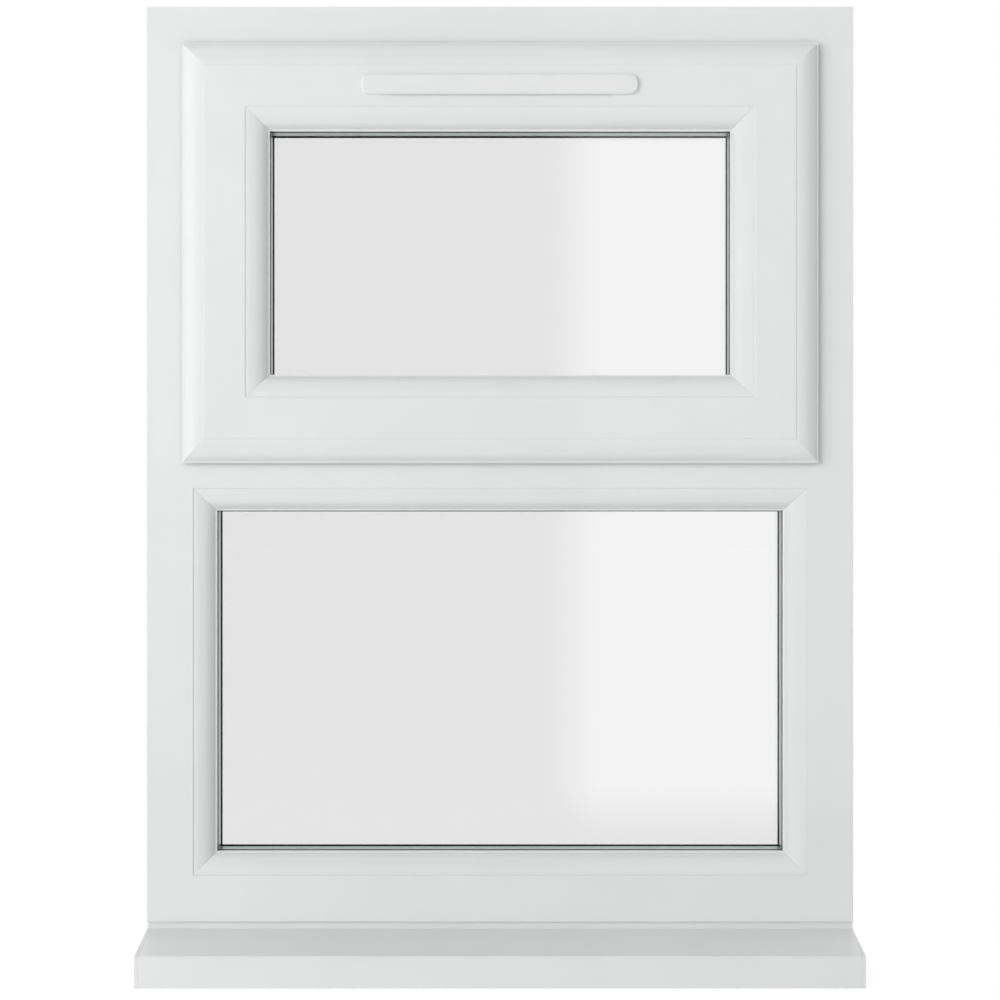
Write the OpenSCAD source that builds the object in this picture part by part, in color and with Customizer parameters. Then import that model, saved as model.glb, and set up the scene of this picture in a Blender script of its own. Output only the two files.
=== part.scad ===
// Top hung window: a welded frame on a cill, a top hung sash over a fixed light.
// Origin: middle of the width, outer face of the frame, bearing face of the cill.
// X runs along the width, Y from outside to the room, Z up.
// Sections are drawn as [y, u], with u counted inwards from the edge of a loop.

/* [Outer frame] */
// Width of the frame
frame_w = 610; // [560:1:900]
// Height of the frame without the cill
frame_h = 790; // [760:1:1100]
// Depth of the frame
frame_d = 70; // [68:0.5:78]
// Face width of jambs, head and sill
frame_face = 40; // [36:0.5:50]
// Face width of the transom
transom_face = 32.3; // [28:0.1:50]
// Height of the rebate of the fixed light
fixed_h = 334.2; // [250:0.1:360]
// Wall of the hollow profiles
wall = 3; // [2.5:0.1:3.2]
// Thickness of the glazing legs
leg_t = 16; // [14:0.5:18]

/* [Sash] */
// How far the sash face stands out of the frame face
sash_proud = 20; // [18:0.5:24]
// Room between sash and frame for the stays
sash_gap = 12; // [12:0.5:14]
// Overlap of the lip on the frame
lip_overlap = 9; // [8:0.5:11]
// How far the sash hangs below the middle of its opening
sash_drop = 1.5; // [0:0.1:1.8]
// Width of the rounded bevel on the lip
bevel_w = 20.5; // [18:0.5:21]
// Width of the flat face of the sash
sash_face = 36; // [34:0.5:46]
// Thickness of the lip at its edge
lip_t = 5; // [4:0.5:6]
// Gap between lip and frame face, filled by the seal
lip_gap = 3; // [2.5:0.1:4]
// Gap between the back of the sash and the legs of the frame
back_gap = 4; // [3:0.1:5]

/* [Glazing] */
// Width of the beads and of the glazing legs
bead_w = 19.3; // [17:0.1:22]
// Thickness of one pane
pane_t = 4; // [3:0.5:6]
// Depth of the frame that is left beside the cavity between the panes
cavity_margin = 50; // [50:1:54]
// Thickness of the gaskets
gasket_t = 3; // [2:0.5:4]
// Room round the sealed unit
edge_gap = 5; // [3:0.5:6]
// How far the inner gasket shows past the leg
gasket_show = 0.9; // [0.5:0.1:3]
// Length of a setting packer
packer_l = 60; // [40:1:100]

/* [Cill] */
// Depth of the cill
cill_d = 150; // [120:1:200]
// Height of the platform under the frame
cill_h = 30; // [26:0.5:36]
// Height of the nose
nose_h = 27; // [22:0.5:34]
// How far the nose hangs below the bearing face
nose_drop = 13; // [8:0.5:16]
// Depth of the nose
nose_d = 22; // [18:0.5:30]
// Distance of the upstand behind the frame face
upstand_y = 4; // [3.5:0.5:24]
// Height of the upstand
upstand_h = 6.4; // [4:0.1:8]
// Thickness of an end cap
cap_t = 3; // [2:0.5:5]

/* [Stays and hinge] */
// Height of the sash opening that the stays leave free
stay_margin = 103.5; // [90:0.5:160]
// Width of a stay track
track_w = 14; // [13:0.5:16]
// Height of the swing axis above the lip
axis_rise = 7; // [6:0.5:10]
// Radius of a stay rivet
rivet_r = 2.5; // [2:0.1:3]

/* [Lock and handle] */
// Distance of the spindle above the edge of the sash
backset = 26; // [25:0.5:27]
// Travel of the drive rod
rod_travel = 18; // [14:0.5:20]
// Half the distance between the cams
cam_x = 110; // [70:1:120]
// Length of the lever from the spindle
lever_l = 105; // [80:1:130]
// Distance of the handle's screws from the spindle
handle_screw_x = 21.5; // [20:0.5:25]

/* [Trickle vent] */
// Length of the outside canopy
canopy_l = 237; // [200:1:300]
// Height of the outside canopy
canopy_h = 17.6; // [15:0.1:20]
// How far the canopy stands out of the sash
canopy_d = 4; // [4:0.5:10]
// Solid length of the canopy at each end of the slot
canopy_end = 23.5; // [20:0.5:40]
// Height of the slot
slot_h = 9; // [6:0.5:10]

/* [Fixings] */
// Radius of the fixing holes through the jambs
fixing_r = 4; // [3:0.5:5]
// Distance of the fixing holes from the ends of a jamb
fixing_end = 140; // [100:1:160]
// Distance of the cill's outer screws from the packers
packer_clear = 20.5; // [10:0.5:30]
// Radius of the screws
screw_r = 2; // [1.5:0.1:2.2]

/* [Hidden] */
$fn = 48;

upvc = "#eef0ef";
steel = "#b9bdc0";
rubber = "#26282a";
glazing = "#dfe9e6";
fit = 0.3;
eps = 1;

// Levels of the frame
frame_top = cill_h + frame_h;
opening_w = frame_w - 2 * frame_face;
fixed_z = cill_h + frame_face;
transom_z = fixed_z + fixed_h;
sash_open_z = transom_z + transom_face;
sash_open_h = frame_top - frame_face - sash_open_z;
leg_y = frame_d - leg_t;
cavity = frame_d - cavity_margin;
unit_t = 2 * pane_t + cavity;

// Levels of the sash
sash_w = opening_w + 2 * lip_overlap;
sash_z = sash_open_z - lip_overlap - sash_drop;
sash_h = sash_open_h + 2 * lip_overlap;
sash_top = sash_z + sash_h;
sash_back = leg_y - back_gap;
edge_u = lip_overlap + sash_gap;
rebate_u = bevel_w + sash_face;
sash_leg_y = sash_back - leg_t;
sash_edge_z = sash_z + edge_u;
groove_y0 = 18;
groove_w = 16;
groove_y1 = groove_y0 + groove_w;
groove_d = 6;
light_w = sash_w - 2 * rebate_u;
light_h = sash_h - 2 * rebate_u;
light_z = sash_z + rebate_u;

// Rounded shapes of the sections
ovolo_sweep = 66;
ovolo_steps = 10;
ovolo_d = 12.5;
quirk = 0.8;
quirk_w = 1.2;
rim = 1.2;
leg_round = 8;

// Widths of the strips round a sealed unit
gasket_w = 6;
spacer_w = 7;

// Reinforcement chambers
web_y = 16;
chamber_y0 = web_y + wall;
chamber_y1 = leg_y - wall;
bar_t = 1.5;
bar_slack = 0.4;
bar_short = 5;
stile_y0 = 2;
stile_front = 15;
stile_bar_y = stile_y0 + stile_front;
stile_u0 = edge_u + groove_d + wall;

// Stays: the arm joins a rivet on the sash to a shoe that runs in the track
axis_y = 8;
axis_z = sash_top + axis_rise;
arm_l = (sash_open_h - stay_margin) / 2;
bar_pivot_z = axis_z - arm_l;
shoe_z = axis_z - 2 * arm_l;
track_base = 1.4;
track_lip = 4.5;
track_lip_t = 0.9;
track_side = 1.2;
track_return = 2.2;
track_sink = 0.7;
track_tail = 22;
track_head = 35;
track_z0 = shoe_z - track_tail;
track_z1 = axis_z - track_head;
arm_x0 = 6;
arm_t = 2;
arm_w = 12;
bar_flat = 2.2;
bar_sink = 1;
bar_tail = 20;
bar_head = 40;
bar_z0 = shoe_z + bar_tail;
bar_z1 = axis_z - bar_head;
rivet_head_r = 4.2;
screw_head_r = 3.7;
screw_fit = 0.15;
shoe_l = 30;
shoe_side = 2.6;

// Lock
plate_t = 2.5;
plate_z = sash_edge_z + 0.3;
drive_z = plate_z + plate_t + fit;
rod_t = 2.5;
rod_end = 25;
rod_l = 2 * (cam_x + rod_end);
plate_l = rod_l + 2 * (rod_travel + 2);
lock_y = groove_y0 + groove_w / 2;
cam_r = 3.2;
cam_fit = 0.4;
cam_head_r = 5;
cam_head_t = 2.8;
cam_bottom = sash_edge_z - 6.8;
keep_t = 1.6;
keep_wall_t = 3.2;
keep_wall_y = lock_y - cam_head_r - 0.8 - keep_wall_t;
keep_wall_top = sash_edge_z - 3.4;
keep_wall_l = 18;
keep_x0 = rod_travel - 12;
keep_x1 = rod_travel + 16;
keep_d = 8;
keep_screw_y = lock_y + 2;
box_l = 40;
spindle_z = sash_edge_z + backset;
spindle_a = 7;
spindle_hole_r = 5.3;
box_z = drive_z + rod_t + fit;
box_top = sash_z + rebate_u - wall - fit;
base_t = 9;
base_h = 28;
base_l = 64;
base_r = 12;
base_edge = 2;
base_sink = 2;
neck_l = 20;
lever_y = sash_back + neck_l;
lever_t = 11;
lever_r = 7.5;
lever_mid_r = lever_r - 0.5;
lever_end_r = lever_r - 1.5;
lever_bend = 0.55 * lever_l;
boss_r = 8;
button_r = 5;
button_l = 7;
button_out = 3;

// Trickle vent
canopy_z = sash_top - bevel_w - sash_face / 2;
canopy_r = 7.4;
canopy_lift = 0.8;
canopy_edge = 1.4;
canopy_wall = 2;
vent_d = 14;
slot_l = canopy_l - 2 * canopy_end;
vent_end = 15;
vent_l = slot_l + 2 * vent_end;
vent_low = 17;
vent_high = 7;
vent_z0 = canopy_z - vent_low;
vent_z1 = canopy_z + vent_high;
flap_t = 2;
flap_foot = 5;
flap_over = 5;
flap_z = vent_z0 + flap_foot;
flap_y = sash_back + vent_d + 3 * fit;
flap_x = slot_l / 2 + flap_over;
pin_r = 1.2;
pin_y = flap_y + flap_t / 2;
ear_t = 4;
ear_d = 4.5;
ear_h = 6;

cill_y0 = frame_d - cill_d;
nose_top = nose_h - nose_drop;
slope_z = cill_h - upstand_h;

// A quarter round that leaves the face flat and turns steep at its far end
function ovolo(y0, u0, y1, u1) = [for (i = [0 : ovolo_steps]) let (a = i * ovolo_sweep / ovolo_steps)
  [y0 + (y1 - y0) * (1 - cos(a)) / (1 - cos(ovolo_sweep)), u0 + (u1 - u0) * sin(a) / sin(ovolo_sweep)]];
function reversed(p) = [for (i = [len(p) - 1 : -1 : 0]) p[i]];

// Sections
function rebate_curve(front, leg, back, u) = concat(
  [[front - eps, u - quirk_w], [front, u - quirk_w], [front + quirk, u], [leg, u], [leg, u + bead_w]],
  reversed(ovolo(back, u + bead_w - leg_round, back - leg_round, u + bead_w)),
  [[back + eps, u + bead_w - leg_round]]);
sash_curve = concat(
  [[-sash_proud, bevel_w]],
  ovolo(-sash_proud + quirk, bevel_w, -lip_gap - lip_t, rim),
  [[-lip_gap - lip_t, 0], [-lip_gap, 0], [-lip_gap, edge_u], [groove_y0, edge_u],
   [groove_y0, edge_u + groove_d], [groove_y1, edge_u + groove_d], [groove_y1, edge_u], [sash_back, edge_u]]);
function bead_section(face, back) = concat(
  [[back, 0]],
  ovolo(face + quirk, 0, face + ovolo_d, bead_w - rim), [[face + ovolo_d, bead_w], [back, bead_w]]);
function bead_hollow(face, back) = concat(
  [[back - wall / 2, wall]],
  ovolo(face + wall, wall, face + ovolo_d, bead_w - wall), [[back - wall / 2, bead_w - wall]]);
cill_section = [[cill_y0, -nose_drop], [cill_y0, nose_top - rim], [cill_y0 + rim, nose_top],
  [upstand_y, slope_z], [upstand_y, cill_h], [frame_d, cill_h], [frame_d, 0],
  [cill_y0 + nose_d, 0], [cill_y0 + nose_d, -nose_drop]];

// A bar of the given section along X, with u upwards
module bar_x(length, section) {
  translate([-length / 2, 0, 0]) rotate([90, 0, 90]) linear_extrude(length) polygon(section);
}
// A hollow bar along X, mitred at both ends
module mitred_bar(length, reach, section, hollow) {
  difference() {
    intersection() {
      bar_x(length, section);
      translate([0, frame_d, 0]) rotate([90, 0, 0]) linear_extrude(2 * frame_d)
        polygon([[-length / 2 - eps, -eps], [length / 2 + eps, -eps],
          [length / 2 - reach, reach], [-length / 2 + reach, reach]]);
    }
    bar_x(length, hollow);
  }
}
// Turns a bar along X into one side of a rectangle
module on_side(side, w, z, h) {
  if (side == "sill") translate([0, 0, z]) children();
  if (side == "head") translate([0, 0, z + h]) mirror([0, 0, 1]) children();
  if (side == "left") translate([-w / 2, 0, z + h / 2]) rotate([0, 90, 0]) children();
  if (side == "right") translate([w / 2, 0, z + h / 2]) rotate([0, -90, 0]) children();
}
// A solid that at each depth is a rectangle, inset by the curve from the given one
function band(curve, h) = concat(curve, reversed([for (p = curve) [p[0], h - p[1]]]));
module inset_solid(w, z, h, curve) {
  intersection() {
    translate([-w / 2, 0, z]) rotate([90, 0, 90]) linear_extrude(w) polygon(band(curve, h));
    translate([-w / 2, 0, z]) linear_extrude(h) polygon([for (p = band(curve, w)) [p[1], p[0]]]);
  }
}
// A loop of rectangular section between two insets and two depths
module box_loop(w, z, h, u0, u1, y0, y1) {
  difference() {
    translate([-w / 2 + u0, y0, z + u0]) cube([w - 2 * u0, y1 - y0, h - 2 * u0]);
    translate([-w / 2 + u1, y0 - eps, z + u1]) cube([w - 2 * u1, y1 - y0 + 2 * eps, h - 2 * u1]);
  }
}
// A block between two corners
module block(a, b) {
  translate(a) cube(b - a);
}
// Bars along the three axes, round
module rod_x(r, x0, x1, y, z) {
  translate([x0, y, z]) rotate([0, 90, 0]) cylinder(r = r, h = x1 - x0);
}
module rod_y(r, x, y0, y1, z) {
  translate([x, y0, z]) rotate([-90, 0, 0]) cylinder(r = r, h = y1 - y0);
}
module rod_z(r, x, y, z0, z1) {
  translate([x, y, z0]) cylinder(r = r, h = z1 - z0);
}
module mirrored() {
  children();
  mirror([1, 0, 0]) children();
}

// Places that repeat
cill_screw_end = opening_w / 4 + packer_l / 2 + packer_clear;
cill_screw_x = [-cill_screw_end, 0, cill_screw_end];
cill_screw_bite = 18;
cill_screw_inset = 8;
cill_screw_y = chamber_y1 - cill_screw_inset;
fixing_y = (chamber_y0 + chamber_y1) / 2;
fixing_z = [cill_h + fixing_end, frame_top - fixing_end];
screw_end = 8;
track_screw_z = [track_z0 + screw_end, bar_pivot_z - 5, track_z1 - screw_end];
bar_screw_z = [bar_z0 + screw_end, (bar_z0 + bar_pivot_z) / 2, bar_z1 - screw_end];
keep_screw_x = [rod_travel - 4, rod_travel + 10];
vent_screw_x = vent_l / 2 - 5;
vent_screw_z = (vent_z0 + vent_z1) / 2 + 4;
screw_hole_r = screw_r + screw_fit;
screw_depth = 9;
screw_tip = 0.5;

module fixing_holes() {
  for (z = fixing_z) rod_x(fixing_r, -frame_w / 2 - eps, -opening_w / 2 + eps, fixing_y, z);
}
module cill_screw_holes() {
  for (x = cill_screw_x)
    rod_z(screw_hole_r, x, cill_screw_y, cill_h - cill_screw_bite - eps, fixed_z + eps);
}

module outer_frame() color(upvc) difference() {
  block([-frame_w / 2, 0, cill_h], [frame_w / 2, frame_d, frame_top]);
  inset_solid(opening_w, fixed_z, fixed_h, rebate_curve(0, leg_y, frame_d, 0));
  inset_solid(opening_w, sash_open_z, sash_open_h, rebate_curve(0, leg_y, frame_d, 0));
  box_loop(frame_w, cill_h, frame_h, wall, frame_face - wall, wall, web_y);
  box_loop(frame_w, cill_h, frame_h, wall, frame_face - wall, chamber_y0, chamber_y1);
  box_loop(frame_w, cill_h, frame_h, wall, frame_face - wall, leg_y, frame_d - wall);
  for (y = [[wall, web_y], [chamber_y0, chamber_y1], [leg_y, frame_d - wall]])
    block([-opening_w / 2 + wall, y[0], transom_z + wall], [opening_w / 2 - wall, y[1], sash_open_z - wall]);
  mirrored() fixing_holes();
  mirrored() for (z = track_screw_z)
    rod_x(screw_hole_r, -opening_w / 2 - screw_depth, -opening_w / 2 + eps, axis_y, z);
  cill_screw_holes();
  for (s = [-1, 1], x = keep_screw_x)
    rod_z(screw_hole_r, s * cam_x + x, keep_screw_y, sash_open_z - screw_depth, sash_open_z + eps);
}

// A folded steel channel that fills a chamber
module channel_x(l, z, h) color(steel) difference() {
  block([-l / 2, chamber_y0 + bar_slack, z + bar_slack], [l / 2, chamber_y1 - bar_slack, z + h - bar_slack]);
  block([-l / 2 - eps, chamber_y0 + bar_slack + bar_t, z + bar_slack + bar_t],
    [l / 2 + eps, chamber_y1 - bar_slack - bar_t, z + h + eps]);
}
module head_reinforcement() channel_x(opening_w - 2 * bar_short, frame_top - frame_face + wall,
  frame_face - 2 * wall);
module sill_reinforcement() difference() {
  channel_x(opening_w - 2 * bar_short, cill_h + wall, frame_face - 2 * wall);
  cill_screw_holes();
}
module transom_reinforcement() channel_x(opening_w - 2 * wall - 2 * bar_short, transom_z + wall,
  transom_face - 2 * wall);
module left_jamb_reinforcement() color(steel) difference() {
  block([-frame_w / 2 + wall + bar_slack, chamber_y0 + bar_slack, fixed_z + bar_short],
    [-opening_w / 2 - wall - bar_slack, chamber_y1 - bar_slack, frame_top - frame_face - bar_short]);
  block([-frame_w / 2 + wall + bar_slack + bar_t, chamber_y0 + bar_slack + bar_t, fixed_z],
    [-opening_w / 2, chamber_y1 - bar_slack - bar_t, frame_top - frame_face]);
  fixing_holes();
}
module right_jamb_reinforcement() mirror([1, 0, 0]) left_jamb_reinforcement();

module cill() color(upvc) difference() {
  translate([-frame_w / 2 + cap_t, 0, 0]) rotate([90, 0, 90]) linear_extrude(frame_w - 2 * cap_t)
    polygon(cill_section);
  translate([-frame_w / 2, 0, 0]) rotate([90, 0, 90]) linear_extrude(frame_w) {
    polygon([[cill_y0 + wall, wall - nose_drop], [cill_y0 + wall, nose_top - 2 * wall],
      [cill_y0 + nose_d - wall, nose_top - wall], [cill_y0 + nose_d - wall, wall - nose_drop]]);
    polygon([[cill_y0 + nose_d, wall], [cill_y0 + nose_d, nose_top - wall],
      [upstand_y, slope_z - wall], [upstand_y, wall]]);
    polygon([[upstand_y + wall, wall], [upstand_y + wall, cill_h - wall], [frame_d - wall, cill_h - wall],
      [frame_d - wall, wall]]);
  }
  cill_screw_holes();
}
module left_cill_cap() color(upvc) translate([-frame_w / 2, 0, 0]) rotate([90, 0, 90])
  linear_extrude(cap_t) polygon(cill_section);
module right_cill_cap() mirror([1, 0, 0]) left_cill_cap();
module cill_screws() color(steel) for (x = cill_screw_x) {
  rod_z(screw_r, x, cill_screw_y, cill_h - cill_screw_bite, fixed_z);
  rod_z(screw_head_r, x, cill_screw_y, fixed_z, fixed_z + 2);
}

// A sealed unit and its gaskets in a rebate of the given size, from its front face
module pane(w, z, h, y) color(glazing, 0.5)
  block([-w / 2 + edge_gap, y, z + edge_gap], [w / 2 - edge_gap, y + pane_t, z + h - edge_gap]);
module spacer_bar(w, z, h, y) color("silver")
  box_loop(w, z, h, bead_w - spacer_w, bead_w, y + pane_t, y + pane_t + cavity);
module outer_gasket(w, z, h, y) color(rubber)
  box_loop(w, z, h, bead_w - gasket_w, bead_w + fit, y - gasket_t, y);
module inner_gasket(w, z, h, y) color(rubber)
  box_loop(w, z, h, bead_w - gasket_w, bead_w + gasket_show, y, y + gasket_t);
module packers(w, z, y) color("dimgray") mirrored()
  block([w / 4 - packer_l / 2, y, z], [w / 4 + packer_l / 2, y + unit_t, z + edge_gap]);
module bead(side, w, z, h, face, back) color(upvc) on_side(side, w, z, h)
  mitred_bar(side == "sill" || side == "head" ? w : h, bead_w, bead_section(face, back),
    bead_hollow(face, back));

fixed_unit_y = leg_y - gasket_t - unit_t;
module fixed_outer_pane() pane(opening_w, fixed_z, fixed_h, fixed_unit_y);
module fixed_inner_pane() pane(opening_w, fixed_z, fixed_h, fixed_unit_y + pane_t + cavity);
module fixed_spacer_bar() spacer_bar(opening_w, fixed_z, fixed_h, fixed_unit_y);
module fixed_outer_gasket() outer_gasket(opening_w, fixed_z, fixed_h, fixed_unit_y);
module fixed_inner_gasket() inner_gasket(opening_w, fixed_z, fixed_h, leg_y - gasket_t);
module fixed_bead(side) bead(side, opening_w, fixed_z, fixed_h, 0, fixed_unit_y - gasket_t);
module fixed_head_bead() fixed_bead("head");
module fixed_sill_bead() fixed_bead("sill");
module fixed_left_bead() fixed_bead("left");
module fixed_right_bead() fixed_bead("right");
module fixed_packers() packers(opening_w, fixed_z, fixed_unit_y);

module frame_seal() color(rubber) box_loop(opening_w, sash_open_z, sash_open_h, sash_gap + sash_drop,
  bead_w - fit, sash_back + fit, leg_y);

// The left stay, mirrored for the right one; x is counted from the jamb
module at_left_jamb() {
  translate([-opening_w / 2, 0, 0]) children();
}
module left_stay_track() color(steel) at_left_jamb() difference() {
  block([0, axis_y - track_w / 2, track_z0], [track_lip, axis_y + track_w / 2, track_z1]);
  block([track_base, axis_y - track_w / 2 + track_side, track_z0 - eps],
    [track_lip - track_lip_t, axis_y + track_w / 2 - track_side, track_z1 + eps]);
  block([track_base, axis_y - track_w / 2 + track_return, track_z0 - eps],
    [track_lip + eps, axis_y + track_w / 2 - track_return, track_z1 + eps]);
  for (z = track_screw_z) {
    rod_x(screw_hole_r, -eps, track_lip, axis_y, z);
    rod_x(screw_head_r + screw_fit, track_base - track_sink, track_lip, axis_y, z);
  }
}
module right_stay_track() mirror([1, 0, 0]) left_stay_track();
module track_screws() color(steel) mirrored() at_left_jamb() for (z = track_screw_z) {
  rod_x(screw_r, -screw_depth + screw_tip, track_base - track_sink, axis_y, z);
  rod_x(screw_head_r, track_base - track_sink, track_base, axis_y, z);
}
module left_stay_shoe() color("goldenrod") at_left_jamb() {
  block([track_base + fit, axis_y - track_w / 2 + track_side + fit, shoe_z - shoe_l / 2],
    [track_lip - track_lip_t - fit, axis_y + track_w / 2 - track_side - fit, shoe_z + shoe_l / 2]);
  block([track_lip - track_lip_t - fit, axis_y - track_w / 2 + shoe_side, shoe_z - shoe_l / 2],
    [arm_x0 - fit, axis_y + track_w / 2 - shoe_side, shoe_z + shoe_l / 2]);
  rod_x(rivet_r, arm_x0 - fit, arm_x0 + arm_t + fit, axis_y, shoe_z);
  rod_x(rivet_head_r, arm_x0 + arm_t + fit, arm_x0 + arm_t + 1.3, axis_y, shoe_z);
}
module right_stay_shoe() mirror([1, 0, 0]) left_stay_shoe();
module left_stay_arm() color(steel) at_left_jamb() difference() {
  union() {
    block([arm_x0, axis_y - arm_w / 2, shoe_z], [arm_x0 + arm_t, axis_y + arm_w / 2, bar_pivot_z]);
    for (z = [shoe_z, bar_pivot_z]) rod_x(arm_w / 2, arm_x0, arm_x0 + arm_t, axis_y, z);
  }
  for (z = [shoe_z, bar_pivot_z]) rod_x(rivet_r + 0.2, arm_x0 - eps, arm_x0 + arm_t + eps, axis_y, z);
}
module right_stay_arm() mirror([1, 0, 0]) left_stay_arm();
module left_stay_bar() color(steel) at_left_jamb() difference() {
  union() {
    block([sash_gap - bar_flat, axis_y - track_w / 2, bar_z0], [sash_gap, axis_y + track_w / 2, bar_z1]);
    rod_x(rivet_head_r, arm_x0 + arm_t + fit, sash_gap - bar_flat, axis_y, bar_pivot_z);
    rod_x(rivet_r, arm_x0 - fit, arm_x0 + arm_t + fit, axis_y, bar_pivot_z);
    rod_x(rivet_head_r, track_lip + fit, arm_x0 - fit, axis_y, bar_pivot_z);
  }
  for (z = bar_screw_z) {
    rod_x(screw_hole_r, sash_gap - bar_flat - eps, sash_gap + eps, axis_y, z);
    rod_x(screw_head_r + screw_fit, sash_gap - bar_flat - eps, sash_gap - bar_flat + bar_sink, axis_y, z);
  }
}
module right_stay_bar() mirror([1, 0, 0]) left_stay_bar();
module bar_screws() color(steel) mirrored() at_left_jamb() for (z = bar_screw_z) {
  rod_x(screw_head_r, sash_gap - bar_flat, sash_gap - bar_flat + bar_sink, axis_y, z);
  rod_x(screw_r, sash_gap - bar_flat + bar_sink, sash_gap + screw_depth - screw_tip, axis_y, z);
}

module keeps() color(steel) for (s = [-1, 1]) translate([s * cam_x, 0, sash_open_z]) difference() {
  union() {
    block([keep_x0, keep_wall_y, 0], [keep_x1, lock_y + keep_d, keep_t]);
    block([keep_x0 + 6, keep_wall_y, 0],
      [keep_x0 + 6 + keep_wall_l, keep_wall_y + keep_wall_t, keep_wall_top - sash_open_z]);
  }
  for (x = keep_screw_x) rod_z(screw_hole_r, x, keep_screw_y, -eps, keep_t + eps);
}
module keep_screws() color(steel) for (s = [-1, 1], x = keep_screw_x) {
  rod_z(screw_r, s * cam_x + x, keep_screw_y, sash_open_z - screw_depth + screw_tip, sash_open_z + keep_t);
  rod_z(screw_head_r - 0.7, s * cam_x + x, keep_screw_y, sash_open_z + keep_t, sash_open_z + keep_t + 0.7);
}

module handle_screw_holes() {
  mirrored() rod_y(screw_hole_r, handle_screw_x, sash_back - screw_depth, sash_back + base_t, spindle_z);
}
module vent_slot(y0, y1) {
  block([-slot_l / 2, y0, canopy_z - slot_h / 2], [slot_l / 2, y1, canopy_z + slot_h / 2]);
}
module sash() color(upvc) difference() {
  inset_solid(sash_w, sash_z, sash_h, sash_curve);
  inset_solid(sash_w, sash_z, sash_h, rebate_curve(-sash_proud, sash_leg_y, sash_back, rebate_u));
  box_loop(sash_w, sash_z, sash_h, edge_u + wall, rebate_u - wall, wall - sash_proud, stile_y0 - wall);
  box_loop(sash_w, sash_z, sash_h, stile_u0, rebate_u - wall, stile_y0, sash_back - wall);
  block([-box_l / 2 - fit, groove_y0, sash_edge_z], [box_l / 2 + fit, groove_y1, box_top + fit]);
  rod_y(spindle_hole_r + 1, 0, groove_y0, sash_back + eps, spindle_z);
  handle_screw_holes();
  vent_slot(-sash_proud - eps, sash_back + eps);
  mirrored() rod_y(screw_hole_r, vent_screw_x, sash_back - screw_depth, sash_back + eps, vent_screw_z);
  mirrored() at_left_jamb() for (z = bar_screw_z)
    rod_x(screw_hole_r, sash_gap - eps, sash_gap + screw_depth, axis_y, z);
}
module left_stile_reinforcement() color(steel) translate([-sash_w / 2, 0, 0]) difference() {
  block([stile_u0 + bar_slack, stile_bar_y, sash_z + rebate_u + bar_short],
    [rebate_u - wall - bar_slack, sash_back - wall - bar_slack, sash_top - rebate_u - bar_short]);
  block([stile_u0 + bar_slack + bar_t, stile_bar_y + bar_t, sash_z],
    [rebate_u, sash_back - wall - bar_slack - bar_t, sash_top]);
}
module right_stile_reinforcement() mirror([1, 0, 0]) left_stile_reinforcement();
module sash_seal() color(rubber)
  box_loop(sash_w, sash_z, sash_h, rim, lip_overlap - sash_drop - 1, -lip_gap, -fit);

sash_unit_y = sash_leg_y - gasket_t - unit_t;
module sash_outer_pane() pane(light_w, light_z, light_h, sash_unit_y);
module sash_inner_pane() pane(light_w, light_z, light_h, sash_unit_y + pane_t + cavity);
module sash_spacer_bar() spacer_bar(light_w, light_z, light_h, sash_unit_y);
module sash_outer_gasket() outer_gasket(light_w, light_z, light_h, sash_unit_y);
module sash_inner_gasket() inner_gasket(light_w, light_z, light_h, sash_leg_y - gasket_t);
module sash_bead(side) bead(side, light_w, light_z, light_h, -sash_proud, sash_unit_y - gasket_t);
module sash_head_bead() sash_bead("head");
module sash_sill_bead() sash_bead("sill");
module sash_left_bead() sash_bead("left");
module sash_right_bead() sash_bead("right");
module sash_packers() packers(light_w, light_z, sash_unit_y);

module espag_faceplate() color(steel) difference() {
  block([-plate_l / 2, groove_y0 + 0.2, plate_z], [plate_l / 2, groove_y1 - 0.2, plate_z + plate_t]);
  for (s = [-1, 1]) {
    block([s * cam_x, lock_y - cam_r - cam_fit, plate_z - eps],
      [s * cam_x + rod_travel, lock_y + cam_r + cam_fit, plate_z + plate_t + eps]);
    for (x = [0, rod_travel])
      rod_z(cam_r + cam_fit, s * cam_x + x, lock_y, plate_z - eps, plate_z + plate_t + eps);
  }
}
module espag_rod() color(steel) {
  block([-rod_l / 2, groove_y0 + 1, drive_z], [rod_l / 2, groove_y1 - 1, drive_z + rod_t]);
  for (s = [-1, 1]) {
    rod_z(cam_r, s * cam_x, lock_y, cam_bottom, drive_z);
    rod_z(cam_head_r, s * cam_x, lock_y, cam_bottom, cam_bottom + cam_head_t);
  }
}
module espag_gearbox() color(steel) difference() {
  block([-box_l / 2, groove_y0 + 0.3, box_z], [box_l / 2, groove_y1 - 0.3, box_top]);
  rod_y(spindle_hole_r, 0, groove_y0 - eps, groove_y1 + eps, spindle_z);
}

// A plate with rounded corners, from y = 0 to its chamfered face
function plate_section(h, t, c) = [[0, -h / 2], [t - c, -h / 2], [t, -h / 2 + c], [t, h / 2 - c],
  [t - c, h / 2], [0, h / 2]];
module chamfered_plate(l, h, r, t, c) {
  bar_x(l - 2 * r, plate_section(h, t, c));
  translate([0, 0, r - h / 2]) linear_extrude(h - 2 * r)
    polygon([for (p = plate_section(l, t, c)) [p[1], p[0]]]);
  for (x = [r - l / 2, l / 2 - r], z = [r - h / 2, h / 2 - r]) translate([x, 0, z]) rotate([-90, 0, 0])
    rotate_extrude() polygon([[0, 0], [r, 0], [r, t - c], [r - c, t], [0, t]]);
}
module handle_base() color(upvc) difference() {
  translate([0, sash_back, spindle_z]) chamfered_plate(base_l, base_h, base_r, base_t, base_edge);
  rod_y(spindle_hole_r, 0, sash_back - eps, sash_back + base_t + eps, spindle_z);
  handle_screw_holes();
  mirrored()
    rod_y(screw_head_r, handle_screw_x, sash_back + base_t - base_sink, sash_back + base_t + eps, spindle_z);
}
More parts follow.
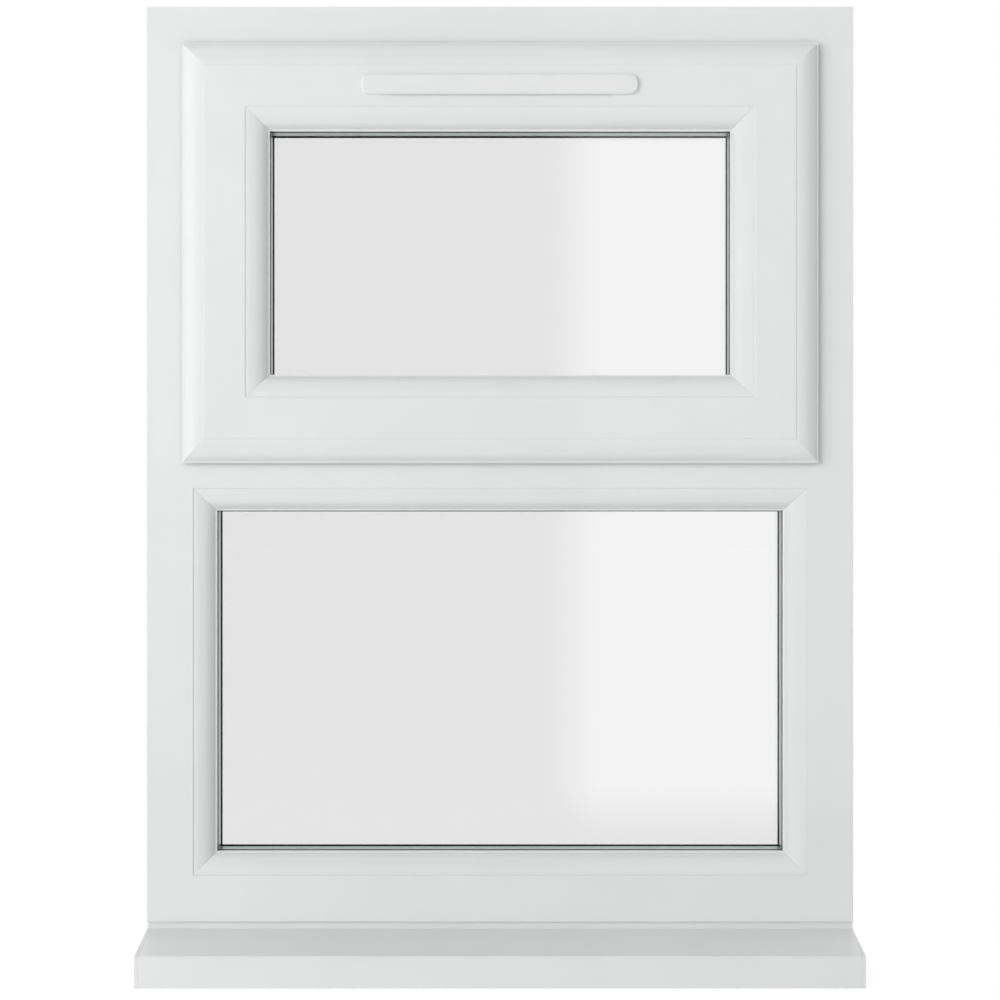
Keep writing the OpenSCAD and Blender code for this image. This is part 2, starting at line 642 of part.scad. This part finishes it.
module handle_screws() color(steel) mirrored() {
  rod_y(screw_r, handle_screw_x, sash_back - screw_depth + screw_tip, sash_back + base_t - base_sink,
    spindle_z);
  rod_y(screw_head_r - screw_fit, handle_screw_x, sash_back + base_t - base_sink, sash_back + base_t,
    spindle_z);
}
module handle_lever() color(upvc) difference() {
  union() {
    rod_y(boss_r, 0, sash_back + base_t + fit, lever_y + lever_t, spindle_z);
    hull() {
      rod_y(lever_r, 0, lever_y, lever_y + lever_t, spindle_z, $fn = 32);
      rod_y(lever_mid_r, lever_bend, lever_y + 2, lever_y + lever_t, spindle_z, $fn = 32);
    }
    hull() {
      rod_y(lever_mid_r, lever_bend, lever_y + 2, lever_y + lever_t, spindle_z, $fn = 32);
      rod_y(lever_end_r, lever_l - lever_end_r, lever_y - 2, lever_y + lever_t - 5, spindle_z, $fn = 32);
    }
  }
  block([-spindle_a / 2 - 0.1, sash_back, spindle_z - spindle_a / 2 - 0.1],
    [spindle_a / 2 + 0.1, lever_y, spindle_z + spindle_a / 2 + 0.1]);
  rod_y(button_r + 0.3, 0, lever_y + lever_t - button_l, lever_y + lever_t + eps, spindle_z);
}
module handle_spindle() color(steel)
  block([-spindle_a / 2, groove_y0 + 1, spindle_z - spindle_a / 2],
    [spindle_a / 2, lever_y - 0.2, spindle_z + spindle_a / 2]);
module handle_button() color("silver")
  rod_y(button_r, 0, lever_y + lever_t - button_l + button_out + fit, lever_y + lever_t + button_out,
    spindle_z);

module vent_canopy() color(upvc) difference() {
  translate([0, -sash_proud, canopy_z + canopy_lift]) mirror([0, 1, 0])
    chamfered_plate(canopy_l, canopy_h, canopy_r, canopy_d, canopy_edge);
  block([-slot_l / 2, -sash_proud - canopy_d + canopy_wall,
    canopy_z + canopy_lift - canopy_h / 2 + canopy_wall],
    [slot_l / 2, -sash_proud + eps, canopy_z + slot_h / 2]);
  block([-slot_l / 2, -sash_proud - canopy_wall, canopy_z - canopy_h],
    [slot_l / 2, -sash_proud + eps, canopy_z]);
}
module vent_body() color(upvc) difference() {
  union() {
    block([-vent_l / 2, sash_back, vent_z0], [vent_l / 2, sash_back + vent_d, vent_z1]);
    mirrored() block([flap_x + fit, sash_back + vent_d - eps, flap_z - ear_h / 2],
      [flap_x + fit + ear_t, sash_back + vent_d + ear_d, flap_z + ear_h / 2]);
  }
  vent_slot(sash_back - eps, sash_back + vent_d + eps);
  rod_x(pin_r + 0.2, -vent_l / 2, vent_l / 2, pin_y, flap_z);
  mirrored() rod_y(screw_hole_r, vent_screw_x, sash_back - eps, sash_back + vent_d + eps, vent_screw_z);
}
module vent_screws() color(steel) mirrored() {
  rod_y(screw_r, vent_screw_x, sash_back - screw_depth + screw_tip, sash_back + vent_d, vent_screw_z);
  rod_y(screw_head_r - 0.4, vent_screw_x, sash_back + vent_d, sash_back + vent_d + 1.4, vent_screw_z);
}
module vent_flap() color(upvc) {
  block([-flap_x, flap_y, flap_z], [flap_x, flap_y + flap_t, vent_z1 - 1]);
  rod_x(pin_r, -flap_x - fit - ear_t, flap_x + fit + ear_t, pin_y, flap_z);
}

outer_frame();
head_reinforcement();
sill_reinforcement();
left_jamb_reinforcement();
right_jamb_reinforcement();
transom_reinforcement();
cill();
left_cill_cap();
right_cill_cap();
cill_screws();
fixed_outer_pane();
fixed_inner_pane();
fixed_spacer_bar();
fixed_outer_gasket();
fixed_inner_gasket();
fixed_head_bead();
fixed_sill_bead();
fixed_left_bead();
fixed_right_bead();
fixed_packers();
frame_seal();
left_stay_track();
right_stay_track();
track_screws();
keeps();
keep_screws();
sash();
left_stile_reinforcement();
right_stile_reinforcement();
sash_seal();
sash_outer_pane();
sash_inner_pane();
sash_spacer_bar();
sash_outer_gasket();
sash_inner_gasket();
sash_head_bead();
sash_sill_bead();
sash_left_bead();
sash_right_bead();
sash_packers();
left_stay_bar();
right_stay_bar();
bar_screws();
espag_faceplate();
espag_gearbox();
handle_base();
handle_screws();
vent_canopy();
vent_body();
vent_screws();
left_stay_arm();
right_stay_arm();
left_stay_shoe();
right_stay_shoe();
espag_rod();
handle_lever();
handle_spindle();
handle_button();
vent_flap();
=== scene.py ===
# %% [markdown]
# # A top hung window, from construction model to picture
#
# The part is a small white uPVC window: a fixed light below, a top hung sash above, a cill underneath.
# The construction model already holds every piece in its place. This lesson gives the pieces their
# surfaces, sets up a plain studio and puts the camera where the photograph was taken.
#
# Units are metres. X runs along the width, Y from the outside to the room, Z up.

# %% Load the construction model
import math
import bpy
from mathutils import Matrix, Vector


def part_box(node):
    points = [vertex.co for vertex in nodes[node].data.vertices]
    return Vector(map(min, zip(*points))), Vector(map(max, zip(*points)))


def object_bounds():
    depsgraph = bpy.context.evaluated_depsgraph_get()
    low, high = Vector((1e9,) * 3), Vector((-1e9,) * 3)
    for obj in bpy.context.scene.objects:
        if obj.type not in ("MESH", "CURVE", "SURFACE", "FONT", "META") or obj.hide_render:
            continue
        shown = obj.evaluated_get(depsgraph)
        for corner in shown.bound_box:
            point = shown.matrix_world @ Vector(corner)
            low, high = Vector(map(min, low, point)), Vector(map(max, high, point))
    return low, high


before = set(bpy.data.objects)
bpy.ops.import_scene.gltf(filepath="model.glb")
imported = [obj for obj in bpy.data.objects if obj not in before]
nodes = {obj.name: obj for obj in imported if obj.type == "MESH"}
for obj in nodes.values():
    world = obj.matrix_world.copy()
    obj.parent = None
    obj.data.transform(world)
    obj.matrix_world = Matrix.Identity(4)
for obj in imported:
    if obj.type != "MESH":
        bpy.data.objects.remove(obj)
first_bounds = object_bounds()
MM = 0.001
for end, corner_at in zip(("low", "high"), first_bounds):
    print(end, "corner", [round(v, 4) for v in corner_at])

# %% [markdown]
# ## Soft edges
#
# An extruded or moulded edge is never perfectly sharp. The small radius is what catches the light and
# draws the bright lines round the lip and the beads. It could be modelled in every section, but a bevel
# modifier on the finished piece does the same and leaves the construction model as it is. The imported
# faces are separate at their seams, so a weld comes first, and weighted normals keep the large faces flat.

# %% Weld and bevel the white pieces
WELD_GAP = 0.005 * MM
EDGE_ANGLE = math.radians(30)


def soften(names, radius):
    for name in names:
        piece = nodes[name]
        weld = piece.modifiers.new("weld", "WELD")
        weld.merge_threshold = WELD_GAP
        bevel = piece.modifiers.new("edge", "BEVEL")
        bevel.width = radius
        bevel.segments = 2
        bevel.limit_method = "ANGLE"
        bevel.angle_limit = EDGE_ANGLE
        bevel.harden_normals = True
        bevel.use_clamp_overlap = True
        even = piece.modifiers.new("even", "WEIGHTED_NORMAL")
        even.keep_sharp = True


LIGHTS = ("fixed", "sash")
BEADS = [f"{light}_{side}_bead" for light in LIGHTS for side in ("head", "sill", "left", "right")]
CAPS = ["left_cill_cap", "right_cill_cap"]
UPVC = ["outer_frame", "sash", "cill"] + CAPS + BEADS
VENT = ["vent_canopy", "vent_body", "vent_flap"]
HANDLE = ["handle_base", "handle_lever"]
soften(UPVC, 0.25 * MM)
soften(VENT, 0.3 * MM)
soften(HANDLE, 0.6 * MM)
print("softened", len(UPVC + VENT + HANDLE))

# %% [markdown]
# ## Colours and one way to add a node
#
# Colours are written as they look on a screen and turned to linear light in one place. One small function
# adds a node, sets its values and joins its inputs. The nodes could be placed by hand in the editor, but as
# a list of calls every finish below can be read and changed in one place.

# %% Helpers for every finish
def linear(text):
    parts = [int(text[i:i + 2], 16) / 255 for i in (1, 3, 5)]
    return tuple(p / 12.92 if p <= 0.04045 else ((p + 0.055) / 1.055) ** 2.4 for p in parts) + (1.0,)


def add(tree, kind, inputs=None, **settings):
    n = tree.nodes.new("ShaderNode" + kind)
    for key, value in settings.items():
        setattr(n, key, value)
    for key, value in (inputs or {}).items():
        if isinstance(value, bpy.types.NodeSocket):
            tree.links.new(value, n.inputs[key])
        else:
            n.inputs[key].default_value = value
    return n


def material(name, **constants):
    m = bpy.data.materials.new(name)
    m.use_nodes = True
    tree = m.node_tree
    shader = tree.nodes["Principled BSDF"]
    for key, value in constants.items():
        shader.inputs[key.replace("_", " ")].default_value = value
    return m, tree, shader


def put(m, names):
    for name in names:
        mesh = nodes[name].data
        mesh.materials.clear()
        mesh.materials.append(m)
    print(m.name, "on", len(names))


# Noise gathers round its middle, so a ramp between these two values uses the whole range of a finish
NOISE_LOW, NOISE_HIGH = 0.3, 0.7
PLASTIC_IOR = 1.53
print("white", [round(v, 3) for v in linear("#eef0ef")[:3]])

# %% [markdown]
# ## Extruded white uPVC
#
# The compound is pushed through a polished die and sized in a vacuum tank. That leaves a soft gloss, very
# faint lines along the bar and a slow cloudiness in the white. Bars run along X or along Z. Each bar could
# have a material of its own, but the frame is welded into one piece. So the lines are drawn both ways and
# the mitre, where the distances to the two edges are equal, decides which one shows.

# %% Frame, sash, beads and cill
DIE_LINE = 1.2 * MM
UPVC_CLOUD = 90 * MM
# Uprights lie farther from the middle than this, so the transom keeps its lines along X
FRAME_INNER_X, SASH_INNER_X = 0.24, 0.18


def upvc(name, half_w, mid_z, half_h, inner_x):
    m, tree, shader = material(name, IOR=PLASTIC_IOR)
    at = add(tree, "TexCoord").outputs["Object"]
    xyz = add(tree, "SeparateXYZ", {"Vector": at}).outputs
    from_x = add(tree, "Math", {0: xyz["X"]}, operation="ABSOLUTE").outputs[0]
    z_off = add(tree, "Math", {0: xyz["Z"], 1: mid_z}, operation="SUBTRACT").outputs[0]
    from_z = add(tree, "Math", {0: z_off}, operation="ABSOLUTE").outputs[0]
    edge_x = add(tree, "Math", {0: half_w, 1: from_x}, operation="SUBTRACT").outputs[0]
    edge_z = add(tree, "Math", {0: half_h, 1: from_z}, operation="SUBTRACT").outputs[0]
    nearer = add(tree, "Math", {0: edge_x, 1: edge_z}, operation="LESS_THAN").outputs[0]
    outside = add(tree, "Math", {0: from_x, 1: inner_x}, operation="GREATER_THAN").outputs[0]
    upright = add(tree, "Math", {0: nearer, 1: outside}, operation="MULTIPLY").outputs[0]
    lines = []
    for stretch in ((0.01, 1, 1), (1, 1, 0.01)):
        along = add(tree, "Mapping", {"Vector": at, "Scale": stretch}).outputs[0]
        drawn = add(tree, "TexNoise", {"Vector": along, "Scale": 1 / DIE_LINE, "Detail": 3})
        lines.append(drawn.outputs[0])
    line = add(tree, "Mix", {0: upright, 2: lines[0], 3: lines[1]}).outputs[0]
    cloud = add(tree, "TexNoise", {"Vector": at, "Scale": 1 / UPVC_CLOUD, "Detail": 4}).outputs[0]
    tint = add(tree, "ValToRGB", {0: cloud})
    for stop, where, colour in zip(tint.color_ramp.elements, (NOISE_LOW, NOISE_HIGH), ("#edefee", "#f0f1f1")):
        stop.position, stop.color = where, linear(colour)
    tree.links.new(tint.outputs[0], shader.inputs["Base Color"])
    gloss = add(tree, "MapRange", {0: line, 1: NOISE_LOW, 2: NOISE_HIGH, 3: 0.18, 4: 0.24}).outputs[0]
    tree.links.new(gloss, shader.inputs["Roughness"])
    bump = add(tree, "Bump", {"Height": line, "Strength": 0.06, "Distance": 0.02 * MM}).outputs[0]
    tree.links.new(bump, shader.inputs["Normal"])
    return m


low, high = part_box("outer_frame")
frame_upvc = upvc("extruded_white_upvc_frame", high[0], (low[2] + high[2]) / 2, (high[2] - low[2]) / 2,
                  FRAME_INNER_X)
put(frame_upvc, ["outer_frame"] + [b for b in BEADS if b.startswith("fixed")])
low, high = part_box("sash")
sash_upvc = upvc("extruded_white_upvc_sash", high[0], (low[2] + high[2]) / 2, (high[2] - low[2]) / 2,
                 SASH_INNER_X)
put(sash_upvc, ["sash"] + [b for b in BEADS if b.startswith("sash")])
# The cill is one bar along X: no point of it lies past an inner edge of 1 m, so only lines along X show
put(upvc("extruded_white_upvc_cill", 1, 0, 0.5, 1), ["cill"])

# %% [markdown]
# ## Moulded ABS and powder coat
#
# The vent and the cill's end caps are injection moulded, with the fine even grain of a spark eroded tool.
# The handle is die cast zinc under a white powder coat, which levels as it melts and keeps a slight orange
# peel. A photographed texture could give the grain, but noise of the right size needs no file. Both are
# white with a fine grain, so one function makes them and only sizes and gloss differ.

# %% Vent, end caps and handle
MOULDED_CLOUD = 40 * MM


def grained_white(name, dark, light, grain, rough, bump_h):
    m, tree, shader = material(name, IOR=PLASTIC_IOR)
    at = add(tree, "TexCoord").outputs["Object"]
    fine = add(tree, "TexNoise", {"Vector": at, "Scale": 1 / grain, "Detail": 3}).outputs[0]
    cloud = add(tree, "TexNoise", {"Vector": at, "Scale": 1 / MOULDED_CLOUD}).outputs[0]
    tint = add(tree, "ValToRGB", {0: cloud})
    for stop, where, colour in zip(tint.color_ramp.elements, (NOISE_LOW, NOISE_HIGH), (dark, light)):
        stop.position, stop.color = where, linear(colour)
    tree.links.new(tint.outputs[0], shader.inputs["Base Color"])
    gloss = add(tree, "MapRange", {0: fine, 1: NOISE_LOW, 2: NOISE_HIGH, 3: rough[0], 4: rough[1]}).outputs[0]
    tree.links.new(gloss, shader.inputs["Roughness"])
    bump = add(tree, "Bump", {"Height": fine, "Strength": 0.15, "Distance": bump_h}).outputs[0]
    tree.links.new(bump, shader.inputs["Normal"])
    return m


put(grained_white("moulded_white_abs", "#eceeed", "#f0f1f0", 0.8 * MM, (0.36, 0.46), 0.02 * MM), VENT + CAPS)
put(grained_white("white_powder_coat", "#eeefee", "#f1f2f1", 2.5 * MM, (0.2, 0.27), 0.03 * MM), HANDLE)

# %% [markdown]
# ## Glass
#
# Float glass is almost perfectly flat. Drawing it over the rollers leaves a slow wave that only shows in
# reflections. A wavy mesh could show it, but a very weak bump on a clear body does it without new faces.
# The index is that of soda lime glass. Shadow rays pass straight through, so the panes don't darken the room.

# %% The four panes
ROLLER_WAVE = 120 * MM
m, tree, shader = material("clear_float_glass", Base_Color=linear("#fafafa"), Roughness=0.0, IOR=1.52,
                           Transmission_Weight=1.0)
at = add(tree, "TexCoord").outputs["Object"]
wave = add(tree, "TexNoise", {"Vector": at, "Scale": 1 / ROLLER_WAVE, "Detail": 0}).outputs[0]
bump = add(tree, "Bump", {"Height": wave, "Strength": 0.1, "Distance": 0.1 * MM}).outputs[0]
tree.links.new(bump, shader.inputs["Normal"])
through = add(tree, "BsdfTransparent", {"Color": linear("#f0f3f1")}).outputs[0]
shadow = add(tree, "LightPath").outputs["Is Shadow Ray"]
both = add(tree, "MixShader", {0: shadow, 1: shader.outputs[0], 2: through}).outputs[0]
tree.links.new(both, tree.nodes["Material Output"].inputs["Surface"])
put(m, [f"{light}_{side}_pane" for light in LIGHTS for side in ("outer", "inner")])

# %% [markdown]
# ## Rubber, steel and the small metal pieces
#
# The gaskets are extruded EPDM, matt and nearly black. Reinforcement is galvanised strip with its spangle,
# fixings and lock are zinc plated and blue passivated, the stays are brushed stainless strip. Each could be a
# graph of its own, but they differ only in colours, gloss and the size and stretch of one pattern.

# %% One function for the patterned finishes
EVEN = (1, 1, 1)


def patterned(name, dark, light, size, stretch, rough, metal, kind="TexNoise", bump_h=0.0):
    m, tree, shader = material(name, Metallic=metal)
    at = add(tree, "TexCoord").outputs["Object"]
    at = add(tree, "Mapping", {"Vector": at, "Scale": stretch}).outputs[0]
    value = add(tree, kind, {"Vector": at, "Scale": 1 / size})
    value = value.outputs["Distance" if kind == "TexVoronoi" else 0]
    tint = add(tree, "ValToRGB", {0: value})
    for stop, where, colour in zip(tint.color_ramp.elements, (NOISE_LOW, NOISE_HIGH), (dark, light)):
        stop.position, stop.color = where, linear(colour)
    tree.links.new(tint.outputs[0], shader.inputs["Base Color"])
    gloss = add(tree, "MapRange", {0: value, 1: NOISE_LOW, 2: NOISE_HIGH, 3: rough[0], 4: rough[1]})
    tree.links.new(gloss.outputs[0], shader.inputs["Roughness"])
    if bump_h:
        bump = add(tree, "Bump", {"Height": value, "Strength": 0.3, "Distance": bump_h}).outputs[0]
        tree.links.new(bump, shader.inputs["Normal"])
    return m


# Extruded and cured: matt, nearly black, with a fine skin
put(patterned("extruded_epdm_rubber", "#1d1f20", "#2a2c2d", 1.5 * MM, EVEN, (0.55, 0.7), 0.0,
              bump_h=0.02 * MM),
    [f"{light}_{side}_gasket" for light in LIGHTS for side in ("outer", "inner")]
    + ["frame_seal", "sash_seal"])
# Dipped in zinc: pale crystals about 14 mm across
put(patterned("galvanised_steel_strip", "#a3a8ab", "#c3c8ca", 14 * MM, EVEN, (0.35, 0.5), 1.0, "TexVoronoi"),
    [f"{s}_reinforcement" for s in ("head", "sill", "left_jamb", "right_jamb", "transom", "left_stile",
                                    "right_stile")])
# Plated and passivated: bright with a cool cast
put(patterned("zinc_plated_steel", "#c0c4c8", "#d6dadd", 3 * MM, EVEN, (0.22, 0.34), 1.0),
    ["cill_screws", "keep_screws", "keeps", "espag_faceplate", "espag_gearbox", "espag_rod", "handle_screws",
     "handle_spindle", "vent_screws"])
# Rolled and brushed along its length: long fine streaks
put(patterned("brushed_stainless_strip", "#b9bbbb", "#d3d4d3", 0.6 * MM, (1, 1, 0.03), (0.22, 0.36), 1.0),
    [f"{s}_stay_{p}" for s in ("left", "right") for p in ("track", "arm", "bar")]
    + ["track_screws", "bar_screws"])
# Roll formed, left as it came from the mill: dull, with streaks along the bar
put(patterned("mill_aluminium_spacer", "#aeb6b2", "#c4cbc7", 1.0 * MM, (0.02, 1, 0.02), (0.3, 0.42), 1.0),
    ["fixed_spacer_bar", "sash_spacer_bar"])
# Moulded: an even matt grey
put(patterned("grey_polypropylene", "#6f7476", "#7d8284", 2.0 * MM, EVEN, (0.45, 0.6), 0.0,
              bump_h=0.03 * MM),
    ["fixed_packers", "sash_packers"])
# Cast and tumbled: warm and half bright
put(patterned("cast_brass", "#b08a45", "#cda65c", 2.0 * MM, EVEN, (0.25, 0.4), 1.0),
    ["left_stay_shoe", "right_stay_shoe"])
# Polished and plated: nearly a mirror
put(patterned("chromed_button", "#dcdedf", "#e8eaea", 4.0 * MM, EVEN, (0.06, 0.12), 1.0), ["handle_button"])

# %% [markdown]
# ## The studio
#
# The photograph is lit by one large soft source at the front left over an even pale room. More light could
# make the background white, but it would bleach the window. So floor and surroundings read white to the eye,
# to reflections and through the glass, while the light that falls on the window stays at a plain level.
# The sky behind the window is lighter, so that the room side, which the photograph doesn't show, is lit too.

# %% Surroundings and floor
AMBIENT = 0.285
TOWARDS_LIGHT = (-0.06, -0.2, 0.2)
ROOM_LIGHT = 0.9
WHITE = (1, 1, 1, 1)


def white_view(tree):
    ray = add(tree, "LightPath").outputs
    seen = add(tree, "Math", {0: ray["Is Camera Ray"], 1: ray["Is Glossy Ray"]}, operation="MAXIMUM")
    seen = add(tree, "Math", {0: seen.outputs[0], 1: ray["Is Transmission Ray"]}, operation="MAXIMUM")
    return seen.outputs[0]


world = bpy.data.worlds.new("studio")
bpy.context.scene.world = world
world.use_nodes = True
tree = world.node_tree
way = add(tree, "TexCoord").outputs["Generated"]
lean = add(tree, "VectorMath", {0: way, 1: TOWARDS_LIGHT}, operation="DOT_PRODUCT").outputs["Value"]
front = add(tree, "Math", {0: lean, 1: AMBIENT}, operation="ADD").outputs[0]
rear = add(tree, "SeparateXYZ", {"Vector": way}).outputs["Y"]
rear = add(tree, "Math", {0: rear, 1: 0.0}, operation="MAXIMUM").outputs[0]
soft = add(tree, "Math", {0: rear, 1: ROOM_LIGHT, 2: front}, operation="MULTIPLY_ADD").outputs[0]
level = add(tree, "Mix", {0: white_view(tree), 2: soft, 3: 1.0}).outputs[0]
tree.links.new(level, tree.nodes["Background"].inputs["Strength"])
tree.nodes["Background"].inputs["Color"].default_value = WHITE

# The floor lights the window as pale ground does. Seen, it is mostly its own glow, so that it stays even
FLOOR_BOUNCE = (0.9, 0.9, 0.9, 1)
FLOOR_SEEN = (0.15, 0.15, 0.15, 1)
FLOOR_GLOW = 0.91
nose_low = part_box("cill")[0][2]
bpy.ops.mesh.primitive_plane_add(size=40, location=(0, 0, nose_low - 0.2 * MM))
floor = bpy.context.object
floor.name = "floor"
m, tree, shader = material("pale_floor", Roughness=0.9, Specular_IOR_Level=0.0, Emission_Color=WHITE)
seen = white_view(tree)
pale = add(tree, "Mix", {0: seen, 6: FLOOR_BOUNCE, 7: FLOOR_SEEN}, data_type="RGBA").outputs[2]
tree.links.new(pale, shader.inputs["Base Color"])
glow = add(tree, "Math", {0: seen, 1: FLOOR_GLOW}, operation="MULTIPLY").outputs[0]
tree.links.new(glow, shader.inputs["Emission Strength"])
floor.data.materials.append(m)
print("floor at", round(floor.location.z, 5))

# %% [markdown]
# ## What the glass mirrors
#
# Clear glass shows what stands in front of it. A painted pane could carry that tone, but it would be wrong
# from every other side. A dark screen that only reflections see gives the panes their grey, and its pale
# corner gives the soft light on the right. The glow starts past a corner and fades over a short distance.

# %% The screen in front
CORNER_X, CORNER_Z = 0.118, 0.1
FADE = 0.08
PALE_LEVEL = 0.87
bpy.ops.mesh.primitive_plane_add(size=2, location=(0, -0.5, 0.6), rotation=(math.radians(90), 0, 0))
screen = bpy.context.object
screen.name = "reflected_screen"
screen.visible_camera = screen.visible_diffuse = screen.visible_shadow = False
m, tree, shader = material("reflected_screen", Base_Color=(0, 0, 0, 1), Specular_IOR_Level=0.0,
                           Emission_Color=WHITE)
at = add(tree, "TexCoord").outputs["Object"]
corner = (CORNER_X, CORNER_Z - screen.location.z, 0)
past = add(tree, "VectorMath", {0: corner, 1: at}, operation="SUBTRACT").outputs[0]
past = add(tree, "VectorMath", {0: past, 1: (0, 0, 0)}, operation="MAXIMUM").outputs[0]
far = add(tree, "VectorMath", {0: past}, operation="LENGTH").outputs["Value"]
pale = add(tree, "MapRange", {0: far, 1: 0.0, 2: FADE, 3: PALE_LEVEL, 4: 0.0},
           interpolation_type="SMOOTHSTEP").outputs[0]
tree.links.new(pale, shader.inputs["Emission Strength"])
bounces = add(tree, "LightPath").outputs["Glossy Depth"]
mirrored = add(tree, "Math", {0: bounces, 1: 0.5}, operation="GREATER_THAN").outputs[0]
clear = add(tree, "BsdfTransparent").outputs[0]
both = add(tree, "MixShader", {0: mirrored, 1: clear, 2: shader.outputs[0]}).outputs[0]
tree.links.new(both, tree.nodes["Material Output"].inputs["Surface"])
screen.data.materials.append(m)
print("screen at", tuple(round(v, 3) for v in screen.location))

# %% [markdown]
# ## The lamp
#
# A small lamp would cut hard shadows. A large disk at the front left lights the face and lets the sash throw
# its soft shadow to the right.

# %% Key lamp
AIM = Vector((0, 0, 0.42))
key = bpy.data.objects.new("key", bpy.data.lights.new("key", "AREA"))
key.data.shape = "DISK"
key.data.size = 2.8
key.data.energy = 47
key.location = (-1.6, -2.3, 0.65)
key.rotation_euler = (AIM - key.location).to_track_quat("-Z", "Y").to_euler()
bpy.context.collection.objects.link(key)
print("key", key.data.energy, "W, size", round(key.data.size, 2))

# %% [markdown]
# ## The camera
#
# The photograph looks straight at the window from the middle of its height. A short lens close by would
# bend the view. A long lens from 2.3 m keeps the lines upright and still shows the top of the cill.

# %% Camera at the photograph's view
camera = bpy.data.objects.new("camera", bpy.data.cameras.new("camera"))
camera.data.sensor_width = 36
camera.data.lens = 95.9
camera.location = (0, -2.3, 0.3941)
camera.rotation_euler = (math.radians(90), 0, 0)
bpy.context.collection.objects.link(camera)
bpy.context.scene.camera = camera
bpy.context.scene.view_settings.view_transform = "Standard"
print("camera at", tuple(round(v, 4) for v in camera.location), "lens", camera.data.lens)
